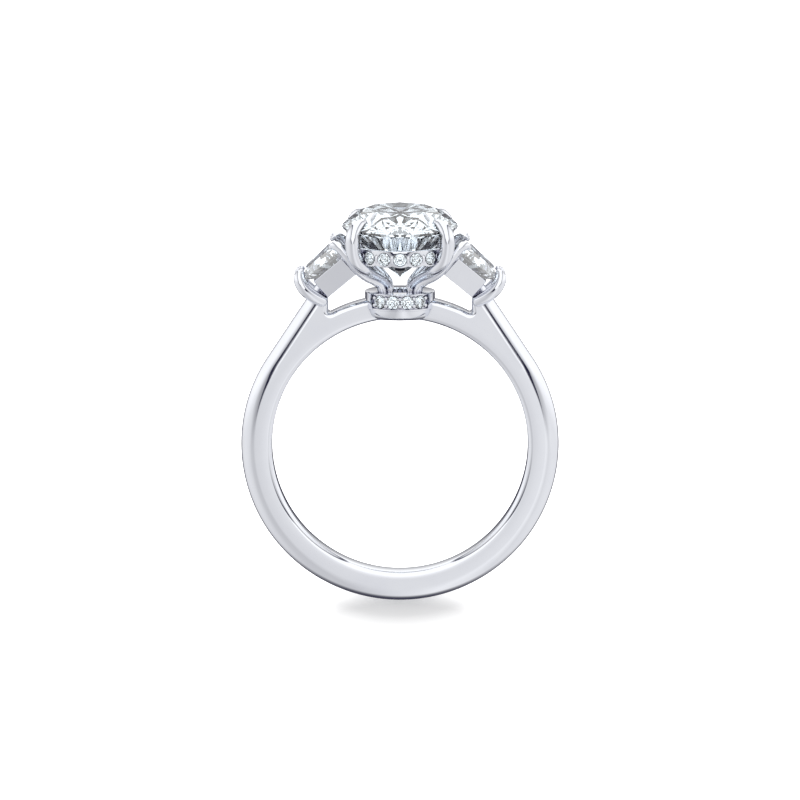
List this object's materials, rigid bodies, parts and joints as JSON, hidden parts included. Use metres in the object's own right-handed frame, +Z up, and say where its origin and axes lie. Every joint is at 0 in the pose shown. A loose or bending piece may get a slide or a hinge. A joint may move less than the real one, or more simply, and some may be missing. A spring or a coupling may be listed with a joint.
{
  "type": "three stone ring",
  "caption": "Finger ring in white metal with a long oval stone across the finger, a trapezoid stone on each side, and small stones round the head and its collar.",
  "frame": {"origin": "centre of the ring's bounding box, at the height of the floor that it lies on", "axes": "+Z up from the floor, +Y from the middle of the finger hole towards the centre stone, +X across the ring from one side stone to the other; the ring leans by 10 degrees on its band and on the oval stone's end"},
  "size_m": [0.0204, 0.0258, 0.01],
  "materials": {
    "metal": "polished rhodium-plated white gold",
    "stone": "polished facets"
  },
  "bodies": {
    "root": {"mounting": "metal", "centre_stone": "stone", "side_stone_left": "stone", "side_stone_right": "stone", "halo_stone_1": "stone", "halo_stone_2": "stone", "halo_stone_3": "stone", "halo_stone_4": "stone", "halo_stone_5": "stone", "halo_stone_6": "stone", "halo_stone_7": "stone", "halo_stone_8": "stone", "halo_stone_9": "stone", "halo_stone_10": "stone", "collar_stone_1": "stone", "collar_stone_2": "stone", "collar_stone_3": "stone", "collar_stone_4": "stone", "collar_stone_5": "stone", "collar_stone_6": "stone", "collar_stone_7": "stone", "collar_stone_8": "stone"}
  },
  "joints": []
}
